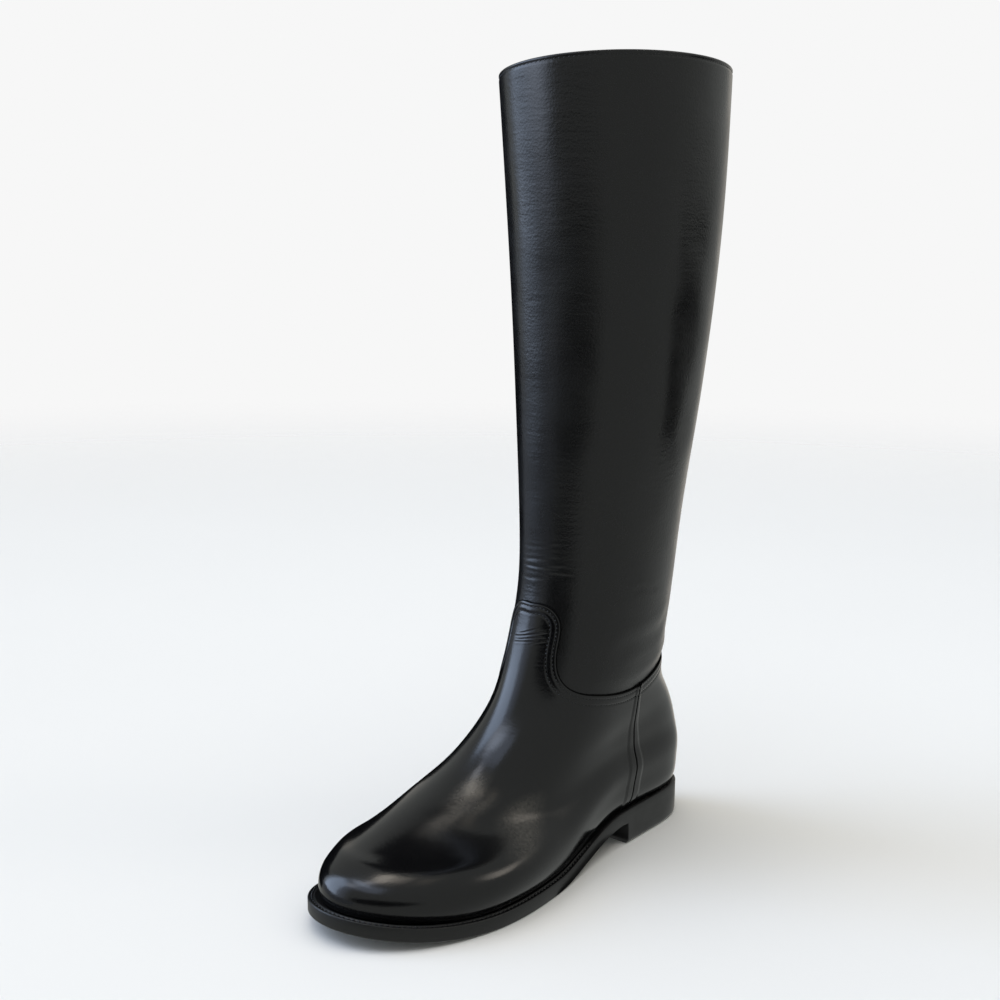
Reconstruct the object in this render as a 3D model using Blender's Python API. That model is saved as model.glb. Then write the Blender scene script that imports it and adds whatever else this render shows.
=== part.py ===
# Tall pull-on riding boot for the left foot, standing empty on its heel and forefoot.
# Tables and named sizes are in millimetres. "ahead" is measured forwards from the heel's back,
# "out" towards the outer side of the foot and "up" from the floor.
# The finished model is in metres, with the toe towards -Y, the outer side at +X and +Z up.
import math

import bmesh
import bpy
import numpy as np
from mathutils import Matrix, Vector

MM = 0.001

# Driving dimensions
SOLE_LENGTH = 270.0
HEEL_LENGTH = 69.0
HEEL_LIFT = 12.5
TOE_SPRING = 9.5
ARCH_START = 3.0
TREAD_START = 146.0
TREAD_END = 188.0
OUTSOLE_THICK = 4.4
WELT_THICK = 3.0
INSOLE_THICK = 2.5
WALL_THICK = 2.0
OVERLAY_THICK = 1.0
RAISED_SEAM = 0.6
COLLAR_RISE = 5.5
FIT_GAP = 0.3

# Where the sole juts out past the upper: at the heel, along the sides and round the toe
LEDGE_HEEL = 4.0
LEDGE_SIDE = 5.5
LEDGE_TOE = 7.5
HEEL_LEDGE_END = 25.0
SIDE_LEDGE_START = 85.0
SIDE_LEDGE_END = 205.0
TOE_LEDGE_START = 255.0
WELT_INSIDE = 7.0
GROOVE_DEPTH = 0.6
GROOVE_WIDTH = 1.0
GROOVE_FROM_EDGE = 2.0
EDGE_ROUND = 0.8
HEEL_ROUND = 2.6
BREAST_CLEAR = 2.0

# The collar dips to the inner side above this share of the height
DIP_START = 0.75
# Width of the raised edge beside the side seam, as a share of each panel's half
VAMP_RAISED = 0.1
COUNTER_RAISED = 0.15
# Opening of the side seam, in degrees
SEAM_SLIT = 0.9

# Mesh density: points round the boot, and steps between one section and the next
ROUND_STEPS = 52
SOLE_STEPS = 64
SECTION_STEPS = (2, 2, 2, 2, 2, 2, 2, 3, 3, 2, 2, 1, 1, 1, 1)
OVERLAY_ROWS = 7
VAMP_COLUMNS = 40
COUNTER_COLUMNS = 20


def smooth_step(t):
    t = np.clip(t, 0.0, 1.0)
    return t * t * (3 - 2 * t)


def sole_bottom(ahead):
    """Height of the sole's underside: flat heel seat, arch, flat tread and toe spring."""
    start = HEEL_LENGTH + ARCH_START
    arch = HEEL_LIFT * (1 - smooth_step((ahead - start) / (TREAD_START - start)))
    toe = np.clip((ahead - TREAD_END) / (SOLE_LENGTH - TREAD_END), 0.0, None)
    return arch + TOE_SPRING * toe ** 2


def welt_bottom(ahead):
    return sole_bottom(ahead) + OUTSOLE_THICK + FIT_GAP


def seat(ahead):
    """Top of the welt, on which the upper and the insole stand."""
    return welt_bottom(ahead) + WELT_THICK


# Side view of the last: each section is a ring that slopes from its front point to its rear point.
# "follow" says how far the ring follows the sole's arch and toe spring between those two points.
SIDE_COLUMNS = ("front", "front_up", "rear", "rear_up", "follow")
SIDE = {
    "feather": (259.0, seat(259.0) + FIT_GAP, 2.2, seat(2.2) + FIT_GAP, 1.0),
    "tuck": (259.0, 20.5, 0.6, 25.0, 1.0),
    "wall": (255.0, 28.0, -0.6, 34.0, 1.0),
    "toe edge": (244.0, 32.5, -1.4, 44.0, 0.9),
    "toe top": (225.0, 38.0, -1.4, 53.5, 0.75),
    "toe box": (202.0, 45.5, 1.0, 63.0, 0.55),
    "vamp": (177.5, 54.5, 5.0, 72.5, 0.35),
    "break": (154.5, 68.5, 10.5, 81.5, 0.2),
    "instep": (135.0, 90.0, 16.5, 93.0, 0.1),
    "ankle": (125.0, 116.5, 16.0, 111.0, 0.0),
    "above": (119.0, 146.5, 11.5, 137.0, 0.0),
    "shin": (117.0, 186.0, 7.0, 181.0, 0.0),
    "low calf": (118.0, 236.0, 1.0, 236.0, 0.0),
    "calf": (120.0, 298.0, -7.5, 298.0, 0.0),
    "high calf": (124.5, 365.0, -13.0, 365.0, 0.0),
    "collar": (131.5, 430.0, -16.0, 430.0, 0.0),
}
# Plan view of the same sections: half widths at four places from toe to heel, on the outer and the
# inner side of the foot, and how far the front point swings to the inner side.
PLAN_COLUMNS = ("toe", "ball_out", "ball_in", "waist_out", "waist_in", "heel", "swing")
PLAN = {
    "feather": (57.0, 44.5, 38.0, 30.0, 25.5, 49.0, -4.0),
    "tuck": (61.0, 47.5, 41.5, 32.5, 28.0, 52.0, -4.0),
    "wall": (63.0, 49.5, 44.0, 33.5, 30.5, 53.0, -4.5),
    "toe edge": (58.0, 46.5, 43.5, 33.0, 31.5, 51.5, -6.5),
    "toe top": (42.0, 37.5, 39.5, 28.5, 30.0, 45.0, -10.0),
    "toe box": (36.0, 33.0, 36.5, 27.0, 28.5, 41.0, -10.5),
    "vamp": (34.0, 32.0, 34.5, 27.0, 28.0, 38.5, -9.5),
    "break": (34.5, 32.0, 33.0, 28.0, 28.0, 36.0, -7.5),
    "instep": (35.0, 32.0, 32.5, 29.0, 29.0, 34.0, -4.5),
    "ankle": (37.0, 34.5, 34.5, 32.5, 32.5, 34.5, -3.0),
    "above": (37.0, 35.5, 35.0, 34.5, 34.0, 34.5, -1.5),
    "shin": (38.0, 38.0, 38.0, 37.5, 37.5, 37.5, -1.0),
    "low calf": (43.5, 44.0, 44.0, 44.0, 44.0, 44.0, 0.0),
    "calf": (49.5, 49.5, 49.5, 49.5, 49.5, 49.5, 0.0),
    "high calf": (54.0, 54.0, 54.0, 54.0, 54.0, 54.0, 0.0),
    "collar": (55.5, 55.5, 55.5, 55.5, 55.5, 55.5, 0.0),
}
# Where the four half widths stand, from 0 at the front to 1 at the back
PLACES_OUT = (0.0, 0.38, 0.64, 1.0)
PLACES_IN = (0.0, 0.31, 0.60, 1.0)

# Top edge of vamp and counter, from the front of the tongue round one side to the back.
# "around" is in degrees from the front centre line, "up" in millimetres.
SEAM_COLUMNS = ("around", "up")
SEAM = {
    "tongue top": (0.0, 146.0),
    "tongue shoulder": (19.0, 144.0),
    "tongue corner": (27.5, 136.5),
    "tongue side": (29.0, 122.0),
    "throat": (33.0, 109.5),
    "throat turn": (43.0, 101.5),
    "quarter": (66.0, 95.5),
    "side seam": (103.0, 92.5),
    "rear quarter": (136.0, 99.5),
    "back": (180.0, 106.0),
}
# Where the raised seam between vamp and counter meets the welt, in degrees from the front
SIDE_SEAM_FOOT = 120.0


def spline(knots, values, at):
    """Natural cubic spline through rows of values, read at an array of places."""
    step = np.diff(knots)
    system = np.eye(len(knots))
    target = np.zeros_like(values)
    for i in range(1, len(knots) - 1):
        system[i, i - 1:i + 2] = step[i - 1], 2 * (step[i - 1] + step[i]), step[i]
        rise = (values[i + 1] - values[i]) / step[i] - (values[i] - values[i - 1]) / step[i - 1]
        target[i] = 6 * rise
    bend = np.linalg.solve(system, target)
    i = np.clip(np.searchsorted(knots, at, side="right") - 1, 0, len(knots) - 2)
    width = step[i][:, None]
    past = (at - knots[i])[:, None]
    left = width - past
    cubic = (bend[i] * left ** 3 + bend[i + 1] * past ** 3) / (6 * width)
    low = (values[i] / width - bend[i] * width / 6) * left
    high = (values[i + 1] / width - bend[i + 1] * width / 6) * past
    return cubic + low + high


def chord_knots(points):
    lengths = np.linalg.norm(np.diff(points, axis=0), axis=1)
    knots = np.concatenate([[0.0], np.cumsum(lengths)])
    return knots / knots[-1]


COLUMNS = SIDE_COLUMNS + PLAN_COLUMNS
SECTIONS = np.array([SIDE[name] + PLAN[name] for name in SIDE])
SECTION_KNOTS = chord_knots(SECTIONS[:, :4])


def width_between(places, widths, back):
    """Cubic through the half widths at four places."""
    total = 0.0
    for i, place in enumerate(places):
        weight = 1.0
        for j, other in enumerate(places):
            if j != i:
                weight = weight * (back - other) / (place - other)
        total = total + weight * widths[i]
    return total


def last_point(angle, share):
    """Point on the upper's outside: angle round from the front, share of the way up to the collar."""
    angle, share = np.broadcast_arrays(angle, share)
    rows = spline(SECTION_KNOTS, SECTIONS, share.ravel())
    c = {name: rows[:, i].reshape(share.shape) for i, name in enumerate(COLUMNS)}
    back = (1 - np.cos(angle)) / 2
    ahead = c["front"] + (c["rear"] - c["front"]) * back
    up = c["front_up"] + (c["rear_up"] - c["front_up"]) * back
    straight = seat(c["front"]) + (seat(c["rear"]) - seat(c["front"])) * back
    up = up + c["follow"] * (seat(ahead) - straight)
    dip = np.clip((share - DIP_START) / (1 - DIP_START), 0.0, 1.0) ** 2
    up = up + COLLAR_RISE * np.sin(angle) * dip
    outer = width_between(PLACES_OUT, (c["toe"], c["ball_out"], c["waist_out"], c["heel"]), back)
    inner = width_between(PLACES_IN, (c["toe"], c["ball_in"], c["waist_in"], c["heel"]), back)
    out = np.where(np.sin(angle) >= 0, outer, inner) * np.sin(angle)
    out = out + c["swing"] * (1 - back) ** 2
    return np.stack([out, ahead, up], axis=-1)


def outward(angle, share):
    """Unit normal of the upper's outside, level where the upper meets the welt."""
    d = 1e-3
    round_way = last_point(angle + d, share) - last_point(angle - d, share)
    up_way = last_point(angle, np.minimum(share + d, 1.0)) - last_point(angle, np.maximum(share - d, 0.0))
    normal = np.cross(up_way, round_way)
    level = 1 - smooth_step(share / SECTION_KNOTS[2])
    normal[..., 2] *= 1 - level
    return normal / np.linalg.norm(normal, axis=-1, keepdims=True)


def skin(angle, share, lift):
    """Surface at a distance outside (or, below zero, inside) the upper's own surface."""
    angle, share = np.broadcast_arrays(np.asarray(angle, float), np.asarray(share, float))
    points = last_point(angle, share) + outward(angle, share) * np.asarray(lift)[..., None]
    foot = share < 1e-6
    points[foot, 2] = seat(points[foot, 1]) + FIT_GAP
    return points


def share_at_height(angle, up):
    low = np.zeros_like(angle)
    high = np.ones_like(angle)
    for _ in range(40):
        middle = (low + high) / 2
        below = last_point(angle, middle)[..., 2] < up
        low = np.where(below, middle, low)
        high = np.where(below, high, middle)
    return (low + high) / 2


def seam_path(count, first, last):
    """Angles and shares along the top edge of vamp and counter, between two of its rows."""
    names = list(SEAM)
    rows = np.array([SEAM[name] for name in names])
    knots = chord_knots(rows)
    places = np.linspace(knots[names.index(first)], knots[names.index(last)], count)
    path = dict(zip(SEAM_COLUMNS, spline(knots, rows, places).T))
    angle = np.radians(path["around"])
    return angle, share_at_height(angle, path["up"])


def sole_outline(grow_heel, grow_side, grow_toe):
    """The feather line grown in plan, as rows of out and ahead."""
    angle = np.linspace(0, 2 * math.pi, SOLE_STEPS, endpoint=False)
    share = np.zeros_like(angle)
    base = last_point(angle, share)
    ahead = base[:, 1]
    past_heel = smooth_step((ahead - HEEL_LEDGE_END) / (SIDE_LEDGE_START - HEEL_LEDGE_END))
    to_toe = smooth_step((ahead - SIDE_LEDGE_END) / (TOE_LEDGE_START - SIDE_LEDGE_END))
    grow = grow_heel + (grow_side - grow_heel) * past_heel + (grow_toe - grow_side) * to_toe
    return (base + outward(angle, share) * grow[:, None])[:, :2]


def material(name, colour, roughness):
    m = bpy.data.materials.new(name)
    m.use_nodes = True
    shader = m.node_tree.nodes["Principled BSDF"]
    shader.inputs["Base Color"].default_value = (*colour, 1.0)
    shader.inputs["Roughness"].default_value = roughness
    shader.inputs["Metallic"].default_value = 0.0
    m.diffuse_color = (*colour, 1.0)
    return m


def add_piece(name, points, faces, finish):
    """One closed mesh object from points in out, ahead and up."""
    mesh = bpy.data.meshes.new(name)
    placed = [(p[0] * MM, -p[1] * MM, p[2] * MM) for p in np.asarray(points).tolist()]
    mesh.from_pydata(placed, [], faces)
    b = bmesh.new()
    b.from_mesh(mesh)
    bmesh.ops.remove_doubles(b, verts=b.verts, dist=1e-6)
    bmesh.ops.recalc_face_normals(b, faces=b.faces)
    bmesh.ops.triangulate(b, faces=b.faces)
    b.to_mesh(mesh)
    b.free()
    mesh.shade_smooth()
    mesh.set_sharp_from_angle(angle=math.radians(40))
    mesh.materials.append(finish)
    piece = bpy.data.objects.new(name, mesh)
    bpy.context.scene.collection.objects.link(piece)
    return piece


def wall_faces(rows, columns, closed):
    """Faces of a wall given as an outer grid and then an inner grid of rows by columns points."""
    faces = []
    spans = columns if closed else columns - 1
    inner = rows * columns

    def at(row, column, side):
        return side * inner + row * columns + column % columns

    for column in range(spans):
        for row in range(rows - 1):
            for side in (0, 1):
                quad = [at(row, column, side), at(row, column + 1, side),
                        at(row + 1, column + 1, side), at(row + 1, column, side)]
                faces.append(quad)
        for row in (0, rows - 1):
            faces.append([at(row, column, 0), at(row, column + 1, 0),
                          at(row, column + 1, 1), at(row, column, 1)])
    if not closed:
        for column in (0, columns - 1):
            for row in range(rows - 1):
                faces.append([at(row, column, 0), at(row + 1, column, 0),
                              at(row + 1, column, 1), at(row, column, 1)])
    return faces


def band_faces(layers, count, ring):
    """Faces between stacked loops of points; a ring also joins the last loop to the first."""
    faces = []
    for layer in range(layers if ring else layers - 1):
        low = layer * count
        high = (layer + 1) % layers * count
        for i in range(count):
            j = (i + 1) % count
            faces.append([low + i, low + j, high + j, high + i])
    return faces


def stacked(outlines, heights):
    return np.vstack([np.column_stack([o, h]) for o, h in zip(outlines, heights)])


def plate(name, outlines, heights, finish):
    """Solid between stacked outlines, capped by strips from the outer side to the inner side."""
    count = len(outlines[0])
    faces = band_faces(len(outlines), count, False)
    for low in (0, (len(outlines) - 1) * count):
        for i in range(count // 2):
            j = (count - i) % count
            ring = [low + i, low + i + 1, low + count - i - 1, low + j]
            faces.append(list(dict.fromkeys(ring)))
    return add_piece(name, stacked(outlines, heights), faces, finish)


def section_shares(top):
    """Shares of the way up at which the mesh has rows, from the welt to a named section."""
    shares = [0.0]
    for i in range(list(SIDE).index(top)):
        start, end = SECTION_KNOTS[i], SECTION_KNOTS[i + 1]
        shares += list(np.linspace(start, end, SECTION_STEPS[i] + 1)[1:])
    return np.array(shares)


def make_upper(finish):
    shares = section_shares("collar")
    angle = np.linspace(0, 2 * math.pi, ROUND_STEPS, endpoint=False)
    grid = np.meshgrid(shares, angle, indexing="ij")
    outside = skin(grid[1], grid[0], np.zeros(grid[0].shape))
    inside = skin(grid[1], grid[0], np.full(grid[0].shape, -WALL_THICK))
    points = np.vstack([outside.reshape(-1, 3), inside.reshape(-1, 3)])
    return add_piece("upper", points, wall_faces(len(shares), ROUND_STEPS, True), finish)


def overlay(name, foot_angle, top_angle, top_share, edge_rise, finish):
    """Panel laid over the upper, from the welt up to its top edge, column by column."""
    low = section_shares("toe top")
    rest = np.linspace(0, 1, OVERLAY_ROWS + 1)[1:, None]
    high = low[-1] + (top_share - low[-1])[None, :] * rest
    share = np.vstack([np.repeat(low[:, None], len(foot_angle), axis=1), high])
    angle = foot_angle + (top_angle - foot_angle) * share / top_share
    under = np.full(angle.shape, FIT_GAP)
    over = FIT_GAP + OVERLAY_THICK + edge_rise[None, :] * np.ones(angle.shape)
    points = np.vstack([skin(angle, share, over).reshape(-1, 3), skin(angle, share, under).reshape(-1, 3)])
    return add_piece(name, points, wall_faces(len(share), len(foot_angle), False), finish)


def mirrored(values):
    """A half from the front to the side seam, made whole from one side seam to the other."""
    return np.concatenate([-values[:0:-1], values])


def make_vamp(finish):
    angle, share = seam_path(VAMP_COLUMNS // 2 + 1, "tongue top", "side seam")
    spread = np.linspace(0, 1, len(angle))
    foot = math.radians(SIDE_SEAM_FOOT) * spread
    to_seam = np.abs(mirrored(spread))
    rise = RAISED_SEAM * smooth_step((to_seam - 1 + VAMP_RAISED) / VAMP_RAISED)
    share = np.concatenate([share[:0:-1], share])
    return overlay("vamp", mirrored(foot), mirrored(angle), share, rise, finish)


def make_counter(finish):
    angle, share = seam_path(COUNTER_COLUMNS // 2 + 1, "side seam", "back")
    spread = np.linspace(0, 1, len(angle))
    start = math.radians(SIDE_SEAM_FOOT)
    foot = start + (math.pi - start) * spread
    slit = math.radians(SEAM_SLIT) * (1 - spread) ** 4
    foot = foot + slit
    angle = angle + slit
    rise = RAISED_SEAM * (1 - smooth_step(spread / COUNTER_RAISED))

    def whole(angles):
        return np.concatenate([angles, 2 * math.pi - angles[-2::-1]])

    share = np.concatenate([share, share[-2::-1]])
    rise = np.concatenate([rise, rise[-2::-1]])
    return overlay("counter", whole(foot), whole(angle), share, rise, finish)


def make_welt(finish):
    """Ring under the upper's edge, with a stitch groove on the ledge and a rounded lip."""
    inside = sole_outline(-WELT_INSIDE, -WELT_INSIDE, -WELT_INSIDE)

    def ledge(drawn_in):
        return sole_outline(LEDGE_HEEL - drawn_in, LEDGE_SIDE - drawn_in, LEDGE_TOE - drawn_in)

    profile = (
        (inside, 0.0),
        (ledge(0.0), 0.0),
        (ledge(0.0), WELT_THICK - EDGE_ROUND),
        (ledge(EDGE_ROUND), WELT_THICK),
        (ledge(GROOVE_FROM_EDGE - GROOVE_WIDTH / 2), WELT_THICK),
        (ledge(GROOVE_FROM_EDGE), WELT_THICK - GROOVE_DEPTH),
        (ledge(GROOVE_FROM_EDGE + GROOVE_WIDTH / 2), WELT_THICK),
        (inside, WELT_THICK),
    )
    outlines = [outline for outline, _ in profile]
    heights = [welt_bottom(outline[:, 1]) + height for outline, height in profile]
    faces = band_faces(len(profile), len(inside), True)
    return add_piece("welt", stacked(outlines, heights), faces, finish)


def make_outsole(finish):
    edge = sole_outline(LEDGE_HEEL, LEDGE_SIDE, LEDGE_TOE)
    drawn = sole_outline(LEDGE_HEEL - EDGE_ROUND, LEDGE_SIDE - EDGE_ROUND, LEDGE_TOE - EDGE_ROUND)
    outlines = (drawn, edge, edge)
    lifts = (0.0, EDGE_ROUND, OUTSOLE_THICK)
    heights = [sole_bottom(o[:, 1]) + lift for o, lift in zip(outlines, lifts)]
    return plate("outsole", outlines, heights, finish)


def heel_outline(drawn_in):
    """The back of the sole's outline, closed by the straight breast."""
    loop = sole_outline(LEDGE_HEEL - drawn_in, LEDGE_SIDE - drawn_in, LEDGE_TOE)
    half = SOLE_STEPS // 2
    sides = []
    for side in (loop[:half + 1], loop[:half - 1:-1]):
        breast = np.interp(HEEL_LENGTH, side[::-1, 1], side[::-1, 0])
        kept = side[side[:, 1] < HEEL_LENGTH - BREAST_CLEAR]
        sides.append(np.vstack([[(breast, HEEL_LENGTH)], kept]))
    outer, inner = sides
    return np.vstack([outer, inner[-2::-1]])


def make_heel(finish):
    rounds = ((HEEL_ROUND, 0.0), (0.3 * HEEL_ROUND, 0.25 * HEEL_ROUND), (0.0, HEEL_ROUND))
    outlines = [heel_outline(drawn) for drawn, _ in rounds]
    heights = [np.full(len(outlines[0]), up) for _, up in rounds]
    top = heel_outline(0.0)
    outlines.append(top)
    heights.append(sole_bottom(top[:, 1]) - FIT_GAP)
    count = len(top)
    faces = band_faces(len(outlines), count, False)
    faces.append(list(range(count)))
    faces.append([(len(outlines) - 1) * count + i for i in range(count)])
    return add_piece("heel", stacked(outlines, heights), faces, finish)


def make_insole(finish):
    inset = -(WALL_THICK + FIT_GAP)
    edge = sole_outline(inset, inset, inset)
    low = seat(edge[:, 1]) + FIT_GAP
    return plate("insole", (edge, edge), (low, low + INSOLE_THICK), finish)


def centre_on_floor(pieces):
    """Move the meshes so that the boot stands on the origin, in the middle of its box."""
    corners = np.array([v.co for piece in pieces for v in piece.data.vertices])
    low, high = corners.min(axis=0), corners.max(axis=0)
    shift = Vector((-(low[0] + high[0]) / 2, -(low[1] + high[1]) / 2, -low[2]))
    for piece in pieces:
        piece.data.transform(Matrix.Translation(shift))


def main():
    for old in list(bpy.data.objects):
        bpy.data.objects.remove(old, do_unlink=True)
    calf = material("black calf leather", (0.012, 0.012, 0.013), 0.35)
    lining = material("insole leather", (0.16, 0.10, 0.06), 0.6)
    rubber = material("black rubber", (0.015, 0.015, 0.015), 0.6)
    edge = material("edge dressed welt", (0.014, 0.013, 0.013), 0.45)
    stack = material("edge dressed heel", (0.014, 0.013, 0.013), 0.4)
    pieces = [
        make_upper(calf),
        make_vamp(calf.copy()),
        make_counter(calf.copy()),
        make_welt(edge),
        make_outsole(rubber),
        make_heel(stack),
        make_insole(lining),
    ]
    centre_on_floor(pieces)


main()
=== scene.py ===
import math

import bmesh
import bpy
import numpy as np
from mathutils import Matrix, Vector
from mathutils.kdtree import KDTree


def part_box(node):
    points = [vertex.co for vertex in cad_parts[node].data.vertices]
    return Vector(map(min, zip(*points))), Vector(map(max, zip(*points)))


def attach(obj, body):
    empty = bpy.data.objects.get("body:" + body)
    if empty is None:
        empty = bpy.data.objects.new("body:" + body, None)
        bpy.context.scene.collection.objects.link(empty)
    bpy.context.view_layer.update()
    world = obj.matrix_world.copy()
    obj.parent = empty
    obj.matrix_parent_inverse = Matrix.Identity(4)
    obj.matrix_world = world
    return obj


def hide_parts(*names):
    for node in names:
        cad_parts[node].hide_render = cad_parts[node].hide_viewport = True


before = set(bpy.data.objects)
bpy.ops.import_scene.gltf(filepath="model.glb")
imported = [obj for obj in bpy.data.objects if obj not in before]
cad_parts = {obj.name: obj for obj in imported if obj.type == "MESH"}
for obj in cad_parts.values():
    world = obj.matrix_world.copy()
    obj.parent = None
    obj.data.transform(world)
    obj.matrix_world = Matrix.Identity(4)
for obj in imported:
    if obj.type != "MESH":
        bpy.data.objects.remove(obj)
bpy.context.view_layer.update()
print("frame loaded:", ", ".join(sorted(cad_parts)))

# Lengths below are millimetres on the boot:
# "out" to the outer side, "ahead" from the heel, "up" from the floor
mm = 0.001
last = {
    "soleLength": 270.0, "heelLength": 69.0, "heelLift": 12.5, "toeSpring": 9.5,
    "archStart": 72.0, "treadStart": 146.0, "treadEnd": 188.0,
    "outsole": 4.4, "welt": 3.0, "gap": 0.3, "wall": 2.0,
    "collarBack": -16.0, "collarRise": 5.5, "dipStart": 0.75,
    "placesOut": (0.0, 0.38, 0.64, 1.0), "placesIn": (0.0, 0.31, 0.60, 1.0),
}
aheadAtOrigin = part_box("upper")[1].y / mm + last["collarBack"]


def smoothStep(t):
    t = np.clip(t, 0.0, 1.0)
    return t * t * (3 - 2 * t)


def bell(distance, width):
    return np.exp(-(distance / width) ** 2)


def soleBottom(ahead):
    arch = 1 - smoothStep((ahead - last["archStart"]) / (last["treadStart"] - last["archStart"]))
    toe = np.clip((ahead - last["treadEnd"]) / (last["soleLength"] - last["treadEnd"]), 0.0, None)
    return last["heelLift"] * arch + last["toeSpring"] * toe ** 2


def seat(ahead):
    return soleBottom(ahead) + last["outsole"] + last["gap"] + last["welt"]


def onWelt(ahead):
    return seat(ahead) + last["gap"]


# Rings of the last from the welt to the collar, each sloping from its front point to its rear point:
# side view, how far it follows the sole, half widths from toe to heel, swing of the toe to the inner side
ringColumns = ("front", "frontUp", "rear", "rearUp", "follow",
               "toe", "ballOut", "ballIn", "waistOut", "waistIn", "heel", "swing")
rings = {
    "feather": (259.0, onWelt(259.0), 2.2, onWelt(2.2), 1.0, 57.0, 44.5, 38.0, 30.0, 25.5, 49.0, -4.0),
    "tuck": (259.0, 20.5, 0.6, 25.0, 1.0, 61.0, 47.5, 41.5, 32.5, 28.0, 52.0, -4.0),
    "wall": (255.0, 28.0, -0.6, 34.0, 1.0, 63.0, 49.5, 44.0, 33.5, 30.5, 53.0, -4.5),
    "toeEdge": (244.0, 32.5, -1.4, 44.0, 0.9, 58.0, 46.5, 43.5, 33.0, 31.5, 51.5, -6.5),
    "toeTop": (225.0, 38.0, -1.4, 53.5, 0.75, 42.0, 37.5, 39.5, 28.5, 30.0, 45.0, -10.0),
    "toeBox": (202.0, 45.5, 1.0, 63.0, 0.55, 36.0, 33.0, 36.5, 27.0, 28.5, 41.0, -10.5),
    "vamp": (177.5, 54.5, 5.0, 72.5, 0.35, 34.0, 32.0, 34.5, 27.0, 28.0, 38.5, -9.5),
    "break": (154.5, 68.5, 10.5, 81.5, 0.2, 34.5, 32.0, 33.0, 28.0, 28.0, 36.0, -7.5),
    "instep": (135.0, 90.0, 16.5, 93.0, 0.1, 35.0, 32.0, 32.5, 29.0, 29.0, 34.0, -4.5),
    "ankle": (125.0, 116.5, 16.0, 111.0, 0.0, 37.0, 34.5, 34.5, 32.5, 32.5, 34.5, -3.0),
    "above": (119.0, 146.5, 11.5, 137.0, 0.0, 37.0, 35.5, 35.0, 34.5, 34.0, 34.5, -1.5),
    "shin": (117.0, 186.0, 7.0, 181.0, 0.0, 38.0, 38.0, 38.0, 37.5, 37.5, 37.5, -1.0),
    "lowCalf": (118.0, 236.0, 1.0, 236.0, 0.0, 43.5, 44.0, 44.0, 44.0, 44.0, 44.0, 0.0),
    "calf": (120.0, 298.0, -7.5, 298.0, 0.0, 49.5, 49.5, 49.5, 49.5, 49.5, 49.5, 0.0),
    "highCalf": (124.5, 365.0, -13.0, 365.0, 0.0, 54.0, 54.0, 54.0, 54.0, 54.0, 54.0, 0.0),
    "collar": (131.5, 430.0, -16.0, 430.0, 0.0, 55.5, 55.5, 55.5, 55.5, 55.5, 55.5, 0.0),
}


def spline(knots, values, at):
    # natural cubic through rows of values
    step = np.diff(knots)
    system = np.eye(len(knots))
    target = np.zeros_like(values)
    for i in range(1, len(knots) - 1):
        system[i, i - 1:i + 2] = step[i - 1], 2 * (step[i - 1] + step[i]), step[i]
        target[i] = 6 * ((values[i + 1] - values[i]) / step[i] - (values[i] - values[i - 1]) / step[i - 1])
    bend = np.linalg.solve(system, target)
    i = np.clip(np.searchsorted(knots, at, side="right") - 1, 0, len(knots) - 2)
    width = step[i][:, None]
    past = (at - knots[i])[:, None]
    left = width - past
    cubic = (bend[i] * left ** 3 + bend[i + 1] * past ** 3) / (6 * width)
    return (cubic + (values[i] / width - bend[i] * width / 6) * left
            + (values[i + 1] / width - bend[i + 1] * width / 6) * past)


def chordKnots(points):
    lengths = np.linalg.norm(np.diff(points, axis=0), axis=1)
    knots = np.concatenate([[0.0], np.cumsum(lengths)])
    return knots / knots[-1]


ringRows = np.array(list(rings.values()))
ringKnots = chordKnots(ringRows[:, :4])
levelBelow = ringKnots[2]  # the wall's normals turn level below this share, to stand on the welt


def widthBetween(places, widths, back):
    total = 0.0
    for i, place in enumerate(places):
        weight = 1.0
        for j, other in enumerate(places):
            if j != i:
                weight = weight * (back - other) / (place - other)
        total = total + weight * widths[i]
    return total


def lastPoint(angle, share):
    # angle runs round from the front over the outer side, share from the welt (0) to the collar (1)
    angle, share = np.broadcast_arrays(np.asarray(angle, float), np.asarray(share, float))
    rows = spline(ringKnots, ringRows, share.ravel())
    c = {name: rows[:, i].reshape(share.shape) for i, name in enumerate(ringColumns)}
    back = (1 - np.cos(angle)) / 2
    ahead = c["front"] + (c["rear"] - c["front"]) * back
    up = c["frontUp"] + (c["rearUp"] - c["frontUp"]) * back
    straight = seat(c["front"]) + (seat(c["rear"]) - seat(c["front"])) * back
    up = up + c["follow"] * (seat(ahead) - straight)
    dip = np.clip((share - last["dipStart"]) / (1 - last["dipStart"]), 0.0, 1.0) ** 2
    up = up + last["collarRise"] * np.sin(angle) * dip
    outer = widthBetween(last["placesOut"], (c["toe"], c["ballOut"], c["waistOut"], c["heel"]), back)
    inner = widthBetween(last["placesIn"], (c["toe"], c["ballIn"], c["waistIn"], c["heel"]), back)
    out = np.where(np.sin(angle) >= 0, outer, inner) * np.sin(angle) + c["swing"] * (1 - back) ** 2
    return np.stack([out, ahead, up], axis=-1)


def lastWays(angle, share):
    # directions round and up the last, per radian and per share
    d = 1e-3
    high, low = np.minimum(share + d, 1.0), np.maximum(share - d, 0.0)
    roundWay = (lastPoint(angle + d, share) - lastPoint(angle - d, share)) / (2 * d)
    upWay = (lastPoint(angle, high) - lastPoint(angle, low)) / (high - low)[..., None]
    return roundWay, upWay


def unit(vectors):
    return vectors / np.linalg.norm(vectors, axis=-1, keepdims=True)


def lastNormal(angle, share):
    roundWay, upWay = lastWays(angle, share)
    normal = unit(np.cross(upWay, roundWay))
    normal[..., 2] *= smoothStep(share / levelBelow)
    return unit(normal)


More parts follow.
